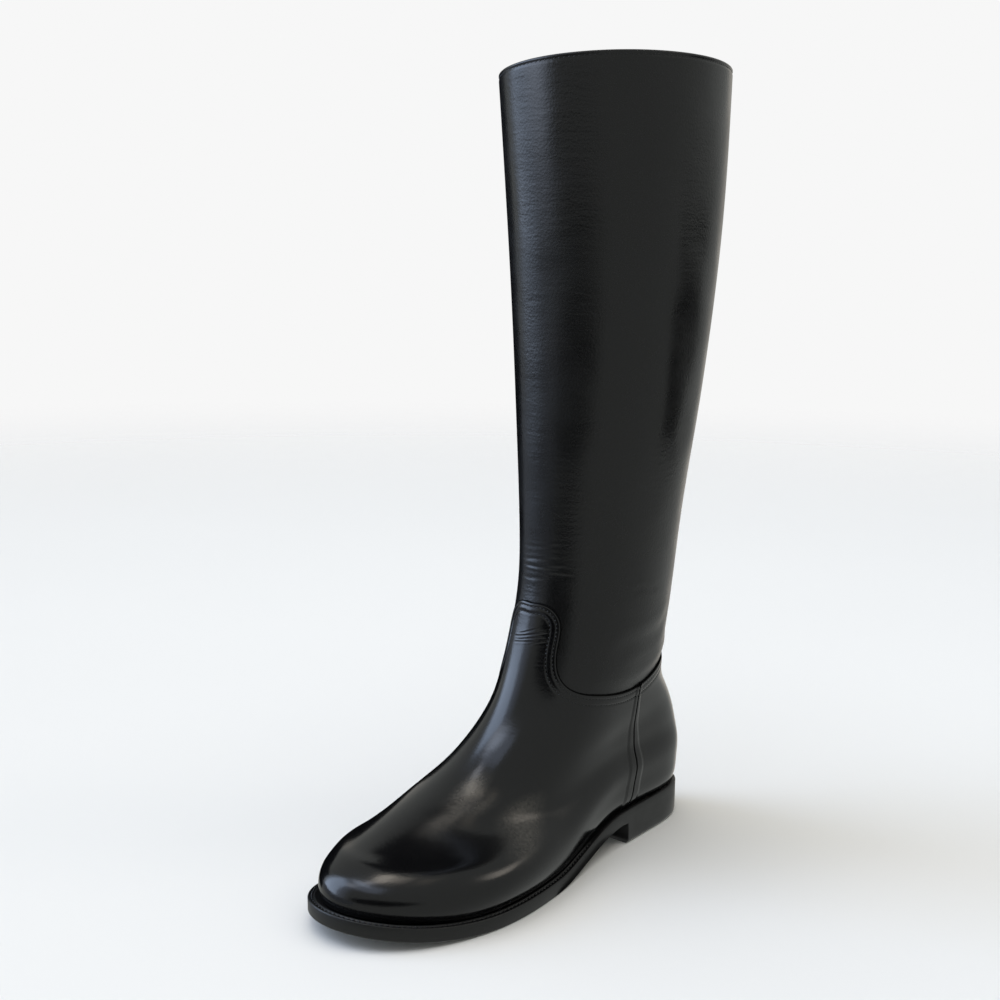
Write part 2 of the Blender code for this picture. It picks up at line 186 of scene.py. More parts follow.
def skin(angle, share, lift):
    # the last's surface moved out by a lift; its foot stays on the welt
    angle, share = np.broadcast_arrays(np.asarray(angle, float), np.asarray(share, float))
    lift = np.broadcast_to(lift, angle.shape)[..., None]
    points = lastPoint(angle, share) + lastNormal(angle, share) * lift
    foot = share < 1e-6
    points[foot, 2] = onWelt(points[foot, 1])
    return points


def shareAtHeight(angle, up):
    low, high = np.zeros_like(angle), np.ones_like(angle)
    for _ in range(40):
        middle = (low + high) / 2
        below = lastPoint(angle, middle)[..., 2] < up
        low, high = np.where(below, middle, low), np.where(below, high, middle)
    return (low + high) / 2


def toFrame(points):
    return np.stack([points[..., 0], aheadAtOrigin - points[..., 1], points[..., 2]], axis=-1) * mm


# Top edge of vamp and counter, degrees from the front and height, the same on both sides
seamEdge = {
    "tongueTop": (0.0, 146.0), "tongueShoulder": (19.0, 144.0), "tongueCorner": (27.5, 136.5),
    "tongueSide": (29.0, 122.0), "throat": (33.0, 109.5), "throatTurn": (43.0, 101.5),
    "quarter": (66.0, 95.5), "sideSeam": (103.0, 92.5), "rearQuarter": (136.0, 99.5), "back": (180.0, 106.0),
}
# Joint of vamp and counter, from the top edge down to the welt
sideJoint = {
    "top": (105.8, 94.0), "upper": (107.6, 78.0), "middle": (113.6, 62.5),
    "low": (118.2, 50.0), "foot": (119.8, 22.0),
}


def pathFrom(table, count):
    rows = np.array(list(table.values()))
    knots = chordKnots(rows)
    around, up = spline(knots, rows, np.linspace(0, 1, count)).T
    angle = np.radians(around)
    return angle, shareAtHeight(angle, up)


halfSeamAngle, halfSeamShare = pathFrom(seamEdge, 900)
seamAngle = np.concatenate([-halfSeamAngle[:0:-1], halfSeamAngle])
seamShare = np.concatenate([halfSeamShare[:0:-1], halfSeamShare])
jointAngle, jointShare = pathFrom(sideJoint, 400)
jointShare[-1] = 0.0


def treeOf(points):
    tree = KDTree(len(points))
    for i, p in enumerate(points):
        tree.insert(p, i)
    tree.balance()
    return tree


def nearest(tree, points):
    flat = points.reshape(-1, 3)
    spot = np.empty_like(flat)
    gap = np.empty(len(flat))
    for i, p in enumerate(flat):
        found, _, distance = tree.find(p)
        spot[i] = found
        gap[i] = distance
    return spot.reshape(points.shape), gap.reshape(points.shape[:-1])


seamPoints = lastPoint(seamAngle, seamShare)
jointPoints = np.vstack([lastPoint(side * jointAngle, jointShare) for side in (1, -1)])
seamTree, jointTree = treeOf(seamPoints), treeOf(jointPoints)


def turned(angle):
    # angle brought to between -pi and pi
    return (angle + math.pi) % (2 * math.pi) - math.pi


def edgeDistances(angle, share):
    # how far below the top edge and how far ahead of the side joint a place lies, with the nearest spots
    points = lastPoint(angle, share)
    turn = np.abs(turned(angle))
    topSpot, top = nearest(seamTree, points)
    sideSpot, side = nearest(jointTree, points)
    top = np.where(share < np.interp(turn, halfSeamAngle, halfSeamShare), top, -top)
    jointAt = np.interp(share, jointShare[::-1], jointAngle[::-1])
    side = np.where(turn < jointAt, side, -side)
    return top, side, topSpot, sideSpot


# A crease is a soft trough that wavers a little, with a low ridge on each side, and fades out at both ends;
# the measures are in widths of the crease, the fade in shares of its length
crease = {
    "waver": 0.35, "waves": 5.0, "shift": 1.7, "ridge": 0.55, "ridgeAt": 1.7, "ridgeWidth": 0.9,
    "fade": 0.3, "fadeStart": 0.15,
}


def creaseLift(angle, up, creases, perDegree):
    u = np.degrees(turned(angle)) * perDegree
    lift = np.zeros_like(up)
    for i, (around0, up0, around1, up1, width, depth) in enumerate(creases.values()):
        start = np.array([around0 * perDegree, up0])
        along = np.array([around1 * perDegree, up1]) - start
        length = np.hypot(*along)
        t = ((u - start[0]) * along[0] + (up - start[1]) * along[1]) / length ** 2
        off = ((up - start[1]) * along[0] - (u - start[0]) * along[1]) / length
        off = off + crease["waver"] * width * np.sin(crease["waves"] * t + crease["shift"] * i)
        ends = [smoothStep(past / crease["fade"] + crease["fadeStart"]) for past in (t, 1 - t)]
        fade = ends[0] * ends[1]
        ridges = bell(np.abs(off) - crease["ridgeAt"] * width, crease["ridgeWidth"] * width)
        lift += depth * fade * (crease["ridge"] * ridges - bell(off, width))
    return lift


def gridFaces(rows, columns):
    # quads of a grid that closes round
    r = np.arange(rows - 1)[:, None]
    c = np.arange(columns)[None, :]
    n = (c + 1) % columns
    low, high = r * columns, (r + 1) * columns
    quads = np.stack([low + c, low + n, high + n, high + c], axis=-1)
    return quads.reshape(-1, 4).tolist()


def placePiece(name, mesh, nodes=()):
    piece = bpy.data.objects.new(name, mesh)
    bpy.context.scene.collection.objects.link(piece)
    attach(piece, "root")
    if nodes:
        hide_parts(*nodes)
    print(name, "has", len(mesh.polygons), "faces")
    return piece


def addPiece(name, points, faces, material, nodes, weld=False):
    mesh = bpy.data.meshes.new(name)
    mesh.from_pydata(toFrame(np.asarray(points)).reshape(-1, 3).tolist(), [], faces)
    if weld:
        work = bmesh.new()
        work.from_mesh(mesh)
        bmesh.ops.remove_doubles(work, verts=work.verts, dist=2e-6)
        bmesh.ops.recalc_face_normals(work, faces=work.faces)
        work.to_mesh(mesh)
        work.free()
    mesh.shade_smooth()
    mesh.materials.append(material)
    return placePiece(name, mesh, nodes)


# Materials
def linear(code):
    parts = [int(code[i:i + 2], 16) / 255 for i in (1, 3, 5)]
    return [p / 12.92 if p <= 0.04045 else ((p + 0.055) / 1.055) ** 2.4 for p in parts] + [1.0]


def addNode(tree, kind, inputs, **settings):
    node = tree.nodes.new(kind)
    for name, value in settings.items():
        setattr(node, name, value)
    for socket, value in inputs.items():
        if isinstance(value, bpy.types.NodeSocket):
            tree.links.new(value, node.inputs[socket])
        else:
            node.inputs[socket].default_value = value
    return node


def perMetre(millimetres):
    return 1000.0 / millimetres


def noise(tree, place, size, detail):
    inputs = {"Vector": place, "Scale": perMetre(size), "Detail": detail}
    return addNode(tree, "ShaderNodeTexNoise", inputs).outputs["Fac"]


def stretched(tree, place, scale):
    return addNode(tree, "ShaderNodeMapping", {"Vector": place, "Scale": scale}).outputs["Vector"]


def mixed(tree, share, first, second):
    inputs = {"Factor": share, "A": first, "B": second}
    return addNode(tree, "ShaderNodeMix", inputs, data_type="RGBA").outputs["Result"]


def darkToLight(tree, share, look):
    return mixed(tree, share, linear(look["dark"]), linear(look["light"]))


def ranged(tree, value, given, wanted=(0.0, 1.0), **settings):
    inputs = {"Value": value, "From Min": given[0], "From Max": given[1],
              "To Min": wanted[0], "To Max": wanted[1]}
    return addNode(tree, "ShaderNodeMapRange", inputs, **settings).outputs["Result"]


def calculated(tree, operation, *values):
    return addNode(tree, "ShaderNodeMath", dict(enumerate(values)), operation=operation).outputs["Value"]


def bumped(tree, height, depth, below=None):
    inputs = {"Height": height, "Distance": depth * mm, "Strength": 1.0}
    if below is not None:
        inputs["Normal"] = below
    return addNode(tree, "ShaderNodeBump", inputs).outputs["Normal"]


def startMaterial(name):
    material = bpy.data.materials.new(name)
    material.use_nodes = True
    tree = material.node_tree
    tree.nodes.clear()
    place = addNode(tree, "ShaderNodeTexCoord", {}).outputs["Object"]
    return material, tree, place


def finishMaterial(tree, inputs):
    shader = addNode(tree, "ShaderNodeBsdfPrincipled", inputs)
    addNode(tree, "ShaderNodeOutputMaterial", {"Surface": shader.outputs["BSDF"]})


cloudRange = (0.35, 0.65)  # where most of a soft noise lies


def calfLeather(name, look):
    # full-grain calf, aniline dyed and waxed: near black, a soft sheen under a thin wax film,
    # with fine pores and stretch marks that only show inside the highlights
    material, tree, place = startMaterial(name)
    cloud = noise(tree, place, look["cloud"], 3.0)
    # pores are about 0.4 mm on the hide, drawn coarser so that they show at this distance
    pores = addNode(tree, "ShaderNodeTexVoronoi", {"Vector": place, "Scale": perMetre(look["pore"])},
                    feature="SMOOTH_F1").outputs["Distance"]
    lines = noise(tree, stretched(tree, place, look["drawn"]), look["stretch"], 4.0)
    slack = noise(tree, place, look["slack"], 1.0)
    gloss = ranged(tree, cloud, cloudRange, (look["smooth"], look["rough"]))
    # painted highlight: light warm grains mixed into the colour on patches where the foot bends, set on the
    # panel's points; there the wax is also duller and the folds bumpier
    flexAndHighlight = addNode(tree, "ShaderNodeAttribute", {}, attribute_name="flexAndHighlight").outputs["Fac"]
    foldsAndHighlight = calculated(tree, "MULTIPLY", noise(tree, place, look["fold"], 4.0), flexAndHighlight)
    highlightGrains = ranged(tree, foldsAndHighlight, look["highlightGrains"])
    relief = None
    for height, depth in ((slack, "slackDepth"), (lines, "stretchDepth"),
                          (foldsAndHighlight, "foldDepth"), (pores, "poreDepth")):
        relief = bumped(tree, height, look[depth], relief)
    finishMaterial(tree, {
        # the colour carries the painted highlight grains where the foot bends
        "Base Color": mixed(tree, highlightGrains, darkToLight(tree, cloud, look), linear(look["paintedHighlight"])),
        "Roughness": calculated(tree, "MULTIPLY_ADD", flexAndHighlight, look["rubbedDull"], gloss),
        "Normal": relief, "IOR": 1.45, "Coat Weight": look["wax"], "Coat Roughness": look["waxRoughness"]})
    return material


def waxedThread(name, look):
    # bonded polyester sewing thread, waxed black: a dull round cord with a visible twist; the lighter stripes
    # along the twist in its colour are painted glints
    material, tree, place = startMaterial(name)
    inputs = {"Vector": place, "Scale": perMetre(look["twist"]), "Distortion": 1.5}
    twist = addNode(tree, "ShaderNodeTexWave", inputs).outputs["Fac"]
    finishMaterial(tree, {
        "Base Color": darkToLight(tree, twist, look), "Roughness": look["roughness"],
        "Normal": bumped(tree, twist, look["twistDepth"])})
    return material


def paintedEdgeShade(name, look):
    # painted shade: a thin dark line round a panel, its turned edge made near black, matt and almost without
    # gloss to stand for the shade at the panel's step; fibres give it a fine bump
    material, tree, place = startMaterial(name)
    fibres = noise(tree, place, look["fibre"], 3.0)
    finishMaterial(tree, {
        "Base Color": darkToLight(tree, fibres, look), "Roughness": look["roughness"],
        "Normal": bumped(tree, fibres, look["fibreDepth"]), "Specular IOR Level": 0.08})
    return material


def edgeInk(name, look):
    # trimmed sole edge, inked and hot-waxed: an even satin black with faint trimming lines
    material, tree, place = startMaterial(name)
    lines = noise(tree, stretched(tree, place, look["drawn"]), look["line"], 3.0)
    cloud = noise(tree, place, look["cloud"], 3.0)
    finishMaterial(tree, {
        "Base Color": darkToLight(tree, cloud, look),
        "Roughness": ranged(tree, cloud, cloudRange, (look["smooth"], look["rough"])),
        "Normal": bumped(tree, lines, look["lineDepth"]), "IOR": 1.5})
    return material


def liningLeather(name, look):
    # glove leather with an open matt face: fine nap, uneven dye
    material, tree, place = startMaterial(name)
    cloud = noise(tree, place, look["cloud"], 5.0)
    nap = noise(tree, place, look["nap"], 3.0)
    finishMaterial(tree, {
        "Base Color": darkToLight(tree, cloud, look), "Roughness": look["roughness"],
        "Normal": bumped(tree, nap, look["napDepth"])})
    return material


# sizes and depths in millimetres
shaftLook = {
    "dark": "#09090a", "light": "#0f0f10", "cloud": 30.0, "pore": 1.2, "poreDepth": 0.07,
    "drawn": (0.3, 0.3, 1.5), "stretch": 4.5, "stretchDepth": 0.13, "slack": 40.0, "slackDepth": 0.9,
    "smooth": 0.24, "rough": 0.34, "wax": 0.15, "waxRoughness": 0.16,
    "fold": 2.4, "foldDepth": 0.0, "highlightGrains": (0.05, 0.75), "paintedHighlight": "#1a1a1a", "rubbedDull": 0.12,
}
footLook = {
    **shaftLook, "dark": "#070708", "light": "#0c0c0d", "cloud": 34.0, "pore": 1.0, "poreDepth": 0.03,
    "stretch": 4.0, "stretchDepth": 0.06, "slack": 30.0, "slackDepth": 0.3, "smooth": 0.13, "rough": 0.2,
    # the light warm grey of the bend patches is a painted highlight
    "wax": 0.2, "waxRoughness": 0.1, "fold": 1.8, "foldDepth": 0.16, "paintedHighlight": "#423f3a",
}
inkLook = {
    "dark": "#0c0c0c", "light": "#131313", "cloud": 14.0, "smooth": 0.36, "rough": 0.44,
    "drawn": (0.08, 0.08, 1.0), "line": 1.2, "lineDepth": 0.05,
}
threadLook = {"dark": "#0a0a0b", "light": "#1d1d20", "twist": 2.2, "twistDepth": 0.08, "roughness": 0.36}
edgeShadeLook = {"dark": "#020202", "light": "#080808", "fibre": 0.8, "fibreDepth": 0.1, "roughness": 0.85}
liningLook = {
    "dark": "#120f0d", "light": "#1f1a16", "cloud": 22.0, "nap": 0.9, "napDepth": 0.12, "roughness": 0.62,
}
shaftCalf = calfLeather("shaftCalf", shaftLook)
footCalf = calfLeather("footCalf", footLook)
soleInk = edgeInk("soleInk", inkLook)
weltInk = edgeInk("weltInk", {**inkLook, "smooth": 0.4, "rough": 0.5})
thread = waxedThread("waxedThread", threadLook)
edgeShade = paintedEdgeShade("edgeShade", edgeShadeLook)
darkLining = liningLeather("darkLining", liningLook)
tanSock = liningLeather("tanSock", {**liningLook, "dark": "#65503f", "light": "#7a634f", "roughness": 0.55})
print("materials ready")


# Shaft, from under the vamp up to the collar, with the collar's turned edge
shaft = {
    "columns": 320, "rows": 292, "fineRows": 4000, "start": "break", "perDegree": 0.75,
    "edge": 2.2, "edgeSteps": 8, "topFrom": 0.9, "topBlend": 0.1, "facing": 24.0, "facingRows": 6,
    "rollOut": 0.9, "rollAt": 9.0, "rollWidth": 6.0, "rollFrom": 40.0, "rollFade": 25.0, "rollBelow": 175.0,
    "backSeam": 0.45, "backSeamWidth": 1.1, "backRidge": 0.5, "backRidgeAt": 2.0, "backRidgeWidth": 1.2,
    "backRadius": 45.0, "stitchDrop": 2.1, "stitchPress": 0.4, "stitchPressWidth": 0.7,
    # rows lie closer here: height on the front, half height, how many more
    "closeRows": {"overTongue": (167.0, 16.0, 1.6), "collar": (428.0, 5.0, 1.6)},
    "hiddenBelow": 140.0, "hiddenSaving": 0.4,
}
shaftCreases = {
    # degrees and height of both ends, width, depth
    "overTongue1": (-24.0, 176.0, 26.0, 178.0, 0.9, 0.07),
    "overTongue2": (-26.0, 168.5, 24.0, 171.0, 0.9, 0.10),
    "overTongue3": (-20.0, 165.0, 30.0, 166.5, 0.9, 0.13),
    "overTongue4": (-24.0, 158.5, 14.0, 160.5, 1.0, 0.08),
    "overTongue5": (2.0, 163.0, 36.0, 161.0, 0.9, 0.08),
    "shin1": (-18.0, 223.0, 14.0, 224.5, 1.1, 0.05),
    "shin2": (-16.0, 239.5, 18.0, 238.5, 1.1, 0.05),
    "shin3": (-14.0, 267.0, 14.0, 268.0, 1.2, 0.04),
    "shin4": (-12.0, 309.0, 14.0, 310.5, 1.2, 0.03),
    "ankleBack": (76.0, 151.5, 102.0, 149.0, 2.0, 0.18),
    "ankleFold": (66.0, 116.0, 132.0, 128.0, 5.5, 0.55),
    "sideWaveHigh": (97.0, 402.0, 90.0, 322.0, 9.0, 0.45),
    "sideWaveLow": (90.0, 326.0, 101.0, 212.0, 9.0, 0.45),
}


def topRate(angle):
    # millimetres per share at the collar
    return np.linalg.norm(lastPoint(angle, 1.0) - lastPoint(angle, 0.99), axis=-1) / 0.01


def shaftLift(angle, share):
    points = lastPoint(angle, share)
    up = points[..., 2]
    lift = creaseLift(angle, up, shaftCreases, shaft["perDegree"])
    # the shaft rolls out a little above the edge of the panels, at the sides and the back
    near = up < shaft["rollBelow"]
    above = np.full(up.shape, np.inf)
    above[near] = -edgeDistances(angle[near], share[near])[0]
    side = smoothStep((np.degrees(np.abs(turned(angle))) - shaft["rollFrom"]) / shaft["rollFade"])
    lift += shaft["rollOut"] * side * bell(above - shaft["rollAt"], shaft["rollWidth"])
    # closed seam up the back
    across = turned(angle - math.pi) * shaft["backRadius"]
    ridges = bell(np.abs(across) - shaft["backRidgeAt"], shaft["backRidgeWidth"])
    lift += shaft["backSeam"] * (shaft["backRidge"] * ridges - bell(across, shaft["backSeamWidth"]))
    drop = (1.0 - share) * topRate(angle)
    lift -= shaft["stitchPress"] * bell(drop - shaft["stitchDrop"], shaft["stitchPressWidth"])
    return lift


def spacedRows(fine, weight, count):
    # shares closer together where the weight is higher
    total = np.concatenate([[0.0], np.cumsum((weight[1:] + weight[:-1]) / 2)])
    return np.interp(np.linspace(0, total[-1], count), total, fine)


def shaftRows():
    start = ringKnots[list(rings).index(shaft["start"])]
    fine = np.linspace(start, 1.0, shaft["fineRows"])
    front = lastPoint(np.zeros_like(fine), fine)[:, 2]
    weight = np.ones_like(front)
    for height, width, more in shaft["closeRows"].values():
        weight += more * bell(front - height, width)
    weight -= shaft["hiddenSaving"] * (front < shaft["hiddenBelow"])
    return spacedRows(fine, weight, shaft["rows"])


def makeShaft():
    angle = np.linspace(0, 2 * math.pi, shaft["columns"], endpoint=False)
    half = shaft["edge"] / 2
    topShare = 1.0 - half / topRate(angle)
    rows = shaftRows()
    blend = smoothStep((rows[:, None] - shaft["topFrom"]) / shaft["topBlend"])
    share = rows[:, None] + (topShare[None, :] - 1.0) * blend
    angles = np.broadcast_to(angle, share.shape)
    layers = [skin(angles, share, shaftLift(angles, share))]
    normal = lastNormal(angle, topShare)
    upWay = unit(lastWays(angle, topShare)[1])
    top = lastPoint(angle, topShare)
    for turn in np.linspace(0, math.pi, shaft["edgeSteps"] + 1)[1:]:
        layers.append((top + normal * (half * (math.cos(turn) - 1)) + upWay * half * math.sin(turn))[None])
    for depth in np.linspace(0, shaft["facing"], shaft["facingRows"] + 1)[1:]:
        layers.append(skin(angle, topShare - depth / topRate(angle), -shaft["edge"])[None])
    points = np.vstack(layers)
    return addPiece("shaftLeather", points, gridFaces(len(points), shaft["columns"]), shaftCalf,
                    ("upper",))


lining = {"columns": 160, "rows": 130, "lift": -1.9, "top": 0.97}


def makeLining():
    angle = np.linspace(0, 2 * math.pi, lining["columns"], endpoint=False)
    share, angles = np.meshgrid(np.linspace(0, lining["top"], lining["rows"]), angle, indexing="ij")
    points = skin(angles, share, lining["lift"])
    faces = [face[::-1] for face in gridFaces(lining["rows"], lining["columns"])]
    return addPiece("shaftLining", points, faces, darkLining, ("upper",))


# Vamp and counter, cut from the last's surface along the top edge and the side joint
panel = {
    "lift": 1.3, "under": 0.08, "rim": 0.7, "rimSteps": 6, "turnUnder": 5.0, "skive": 0.25, "skiveWidth": 1.4,
    "firstRow": 2.5, "secondRow": 6.1, "press": 0.32, "pressWidth": 0.5, "perDegree": 0.72,
    "puff": 0.06, "puffWidth": 1.2, "edgePuff": 0.1, "edgePuffAt": 1.4, "edgePuffWidth": 0.7,
    # raised strip beside the joint, wider towards the welt
    "jointTop": 3.4, "jointFoot": 7.0, "widensBelow": 88.0, "widensOver": 55.0,
    "raised": 0.4, "raisedEdge": 1.0, "jointPress": 0.2, "jointPressWidth": 0.7,
}
vampCreases = {  # columns as on the shaft
    "tongue1": (-13.0, 125.6, 22.0, 131.6, 0.5, 0.12),
    "tongue2": (-9.0, 124.4, 20.0, 128.8, 0.45, 0.10),
    "tongue3": (-12.0, 122.4, 14.0, 126.0, 0.5, 0.10),
    "tongue4": (-4.0, 127.6, 16.0, 126.0, 0.4, 0.06),
    "tongue5": (-8.0, 127.8, 12.0, 132.6, 0.5, 0.07),
    "tongue6": (4.0, 123.0, 22.0, 127.0, 0.45, 0.08),
}
toe = {"reach": 60.0, "fade": 22.0, "at": 0.03, "width": 0.34, "height": 1.0}
flexHighlightPatches = {
    # places where the foot bends, which get a painted highlight and duller wax: degrees and height, half
    # sizes in the same units, strength
    "ballTop": (59.5, 44.5, 7.0, 5.4, 0.9), "ballSide": (65.0, 36.0, 6.5, 7.5, 0.9),
    "vamp": (21.0, 54.5, 8.0, 5.0, 0.9), "vampSide": (37.0, 48.5, 8.0, 4.0, 0.5),
}


def toeRidge(angle, share):
    # the toe box is flat on top and turns down sharply at its rim
    edge, top = (ringKnots[list(rings).index(name)] for name in ("toeEdge", "toeTop"))
    off = ((share - edge) / (top - edge) - toe["at"]) / toe["width"]
    side = smoothStep((toe["reach"] - np.degrees(np.abs(turned(angle)))) / toe["fade"])
    return toe["height"] * side * bell(off, 1.0)


def flexHighlightAt(angle, up):
    around = np.degrees(turned(angle))
    total = np.zeros_like(up)
    for side, height, wide, tall, strength in flexHighlightPatches.values():
        total = total + strength * bell(around - side, wide) * bell(up - height, tall)
    return np.clip(total, 0.0, 1.0)


def jointLine(up):
    # the lines beside the joint stand further from it towards the welt
    spread = smoothStep((panel["widensBelow"] - up) / panel["widensOver"])
    return panel["jointTop"] + (panel["jointFoot"] - panel["jointTop"]) * spread


def panelLift(top, side, angle, share, up):
    lift = panel["lift"] - panel["skive"] * (1 - smoothStep((top - panel["rim"]) / panel["skiveWidth"]))
    between = (panel["firstRow"] + panel["secondRow"]) / 2
    lift = lift + panel["puff"] * bell(top - between, panel["puffWidth"])
    lift = lift + panel["edgePuff"] * bell(top - panel["edgePuffAt"], panel["edgePuffWidth"])
    for row in (panel["firstRow"], panel["secondRow"]):
        lift = lift - panel["press"] * bell(top - row, panel["pressWidth"])
    line = jointLine(up)
    past = side - line + panel["raisedEdge"]
    lift = lift + panel["raised"] * (1 - smoothStep(past / (2 * panel["raisedEdge"])))
    lift = lift - panel["jointPress"] * bell(side - line, panel["jointPressWidth"])
    return lift + toeRidge(angle, share) + creaseLift(angle, up, vampCreases, panel["perDegree"])


def clipGrid(angles, shares, field, limit):
    # keeps the part of a grid where the field is over the limit, cut clean through the cells on its edge
    inside = (field >= limit).tolist()
    level = field.tolist()
    places, index = [], {}

    def corner(r, c):
        if (r, c) not in index:
            index[r, c] = len(places)
            places.append((angles[c], shares[r]))
        return index[r, c]

    def crossing(a, b):
        a, b = min(a, b), max(a, b)
        if (a, b) not in index:
            low, high = level[a[0]][a[1]], level[b[0]][b[1]]
            t = (limit - low) / (high - low)
            index[a, b] = len(places)
            places.append((angles[a[1]] + t * (angles[b[1]] - angles[a[1]]),
                           shares[a[0]] + t * (shares[b[0]] - shares[a[0]])))
        return index[a, b]

    faces, cuts = [], []
    for r in range(len(shares) - 1):
        for c in range(len(angles) - 1):
            loop = ((r, c), (r, c + 1), (r + 1, c + 1), (r + 1, c))
            state = [inside[p][q] for p, q in loop]
            if not any(state):
                continue
            face, cut = [], []
            for k in range(4):
                n = (k + 1) % 4
                if state[k]:
                    face.append(corner(*loop[k]))
                    cut.append(False)
                if state[k] != state[n]:
                    face.append(crossing(loop[k], loop[n]))
                    cut.append(True)
            faces.append(face)
            for k in range(len(face)):
                n = (k + 1) % len(face)
                if cut[k] and cut[n]:
                    cuts.append((face[k], face[n]))
    return np.array(places), faces, cuts


def makePanel(name, node, angles, shares, ahead):
    share, angle = np.meshgrid(shares, angles, indexing="ij")
    top, side, _, _ = edgeDistances(angle, share)
    field = np.minimum(top, side * ahead)
    places, faces, cuts = clipGrid(angles, shares, field, panel["rim"])
    angle, share = places.T
    top, side, topSpot, sideSpot = edgeDistances(angle, share)
    side = side * ahead
    base = lastPoint(angle, share)
    normal = lastNormal(angle, share)
    lift = panelLift(top, side, angle, share, base[:, 2])
    layers = [skin(angle, share, lift)]
    # the cut edge is turned under: half round, then a strip below the panel
    spot = np.where((top < side)[:, None], topSpot, sideSpot)
    out = spot - base
    out = out / np.maximum(np.linalg.norm(out, axis=-1, keepdims=True), 1e-6)
    edge = sorted({i for cut in cuts for i in cut})
    slot = {vertex: i for i, vertex in enumerate(edge)}
    half = (lift[edge] - panel["under"])[:, None] / 2
    middle = base[edge] + normal[edge] * (panel["under"] + half)
    for turn in np.linspace(0, math.pi, panel["rimSteps"] + 1)[1:]:
        outward = out[edge] * panel["rim"] * math.sin(turn)
        layers.append(middle + normal[edge] * half * math.cos(turn) + outward)
    layers.append(base[edge] + normal[edge] * panel["under"] - out[edge] * panel["turnUnder"])
    count = len(places)
    topFaces = len(faces)
    for a, b in cuts:
        ring = [a, b]
        for k in range(panel["rimSteps"] + 1):
            lower = [count + k * len(edge) + slot[a], count + k * len(edge) + slot[b]]
            faces.append([ring[1], ring[0], lower[0], lower[1]])
            ring = lower
    piece = addPiece(name, np.vstack(layers), faces, footCalf, (node,))
    # mask of the painted highlight grains and the duller wax where the foot bends
    flexHighlight = np.zeros(len(piece.data.vertices), np.float32)
    flexHighlight[:count] = flexHighlightAt(angle, base[:, 2])
    piece.data.attributes.new("flexAndHighlight", "FLOAT", "POINT").data.foreach_set("value", flexHighlight)
    # the rim faces take the painted shade of the edge
    piece.data.materials.append(edgeShade)
    layer = np.zeros(len(piece.data.polygons), np.int32)
    layer[topFaces:] = 1
    piece.data.polygons.foreach_set("material_index", layer)
    return piece


vamp = {
    "reach": 124.0, "top": 148.0, "columns": 421, "rows": 310, "fineRows": 3000,
    # rows lie closer along the tongue's creases and along the seam
    "creaseUp": 127.0, "creaseWidth": 9.0, "creaseRows": 1.5,
    "seamSide": 80.0, "seamWidth": 0.03, "seamRows": 1.4,
}


def makeVamp():
    reach = math.radians(vamp["reach"])
    top = shareAtHeight(np.zeros(1), np.array([vamp["top"]]))[0]
    fine = np.linspace(0, top, vamp["fineRows"])
    front = lastPoint(np.zeros_like(fine), fine)[:, 2]
    seamRun = np.interp(math.radians(vamp["seamSide"]), halfSeamAngle, halfSeamShare)
    weight = 1.0 + vamp["creaseRows"] * bell(front - vamp["creaseUp"], vamp["creaseWidth"])
    weight = weight + vamp["seamRows"] * bell(fine - seamRun, vamp["seamWidth"])
    shares = spacedRows(fine, weight, vamp["rows"])
    return makePanel("vampPanel", "vamp", np.linspace(-reach, reach, vamp["columns"]), shares, 1)


counter = {"reach": 82.0, "top": 109.0, "columns": 281, "rows": 190}


def makeCounter():
    reach = math.radians(counter["reach"])
    top = shareAtHeight(np.full(1, math.pi), np.array([counter["top"]]))[0]
    angles = np.linspace(math.pi - reach, math.pi + reach, counter["columns"])
    return makePanel("counterPanel", "counter", angles, np.linspace(0, top, counter["rows"]), -1)


makeShaft()
makeLining()
makeVamp()
makeCounter()
print("upper made")


# Sole: welt with its stitch groove, and the outsole and heel as one trimmed edge
sole = {
    "ledgeHeel": 4.0, "ledgeSide": 5.5, "ledgeToe": 7.5, "heelLedgeEnd": 25.0, "sideLedgeStart": 85.0,
    "sideLedgeEnd": 205.0, "toeLedgeStart": 255.0,
    "frontColumns": 361, "heelColumns": 181, "breastBlend": 6.0,
    # edge of the outsole: drawn in, height from the welt's top; for its foot, height from the underside
    "edgeTop": ((6.0, -3.2), (1.35, -3.2), (1.35, -0.5), (1.2, -0.12), (0.95, 0.0), (0.55, -0.05),
                (0.2, -0.3), (0.0, -0.8), (0.0, -3.4)),
    "edgeFoot": ((0.0, 1.0), (0.18, 0.45), (0.6, 0.12), (1.1, 0.0)),
    # wall of the heel, and its rounded foot in shares of the radius: drawn in, height from the floor
    "heelWall": ((0.0, 9.0), (0.0, 5.5)), "heelRound": 2.6,
    "heelFoot": ((0.0, 1.0), (0.08, 0.6), (0.3, 0.25), (0.62, 0.06), (1.0, 0.0)),
}


def solePlan(angle, drawn, fromEdge=True):
    # outline of the sole drawn in from its edge, or from the feather line, as out and ahead
    share = np.zeros_like(angle)
    base = lastPoint(angle, share)
    ahead = base[:, 1]
    pastHeel = smoothStep((ahead - sole["heelLedgeEnd"]) / (sole["sideLedgeStart"] - sole["heelLedgeEnd"]))
    toToe = smoothStep((ahead - sole["sideLedgeEnd"]) / (sole["toeLedgeStart"] - sole["sideLedgeEnd"]))
    ledge = sole["ledgeHeel"] + (sole["ledgeSide"] - sole["ledgeHeel"]) * pastHeel
    ledge = ledge + (sole["ledgeToe"] - sole["ledgeSide"]) * toToe
    grow = ledge - drawn if fromEdge else -drawn
    return (base + lastNormal(angle, share) * np.broadcast_to(grow, angle.shape)[:, None])[:, :2]


def raised(plan, ground, height):
    return np.column_stack([plan, ground(plan[:, 1]) + height])


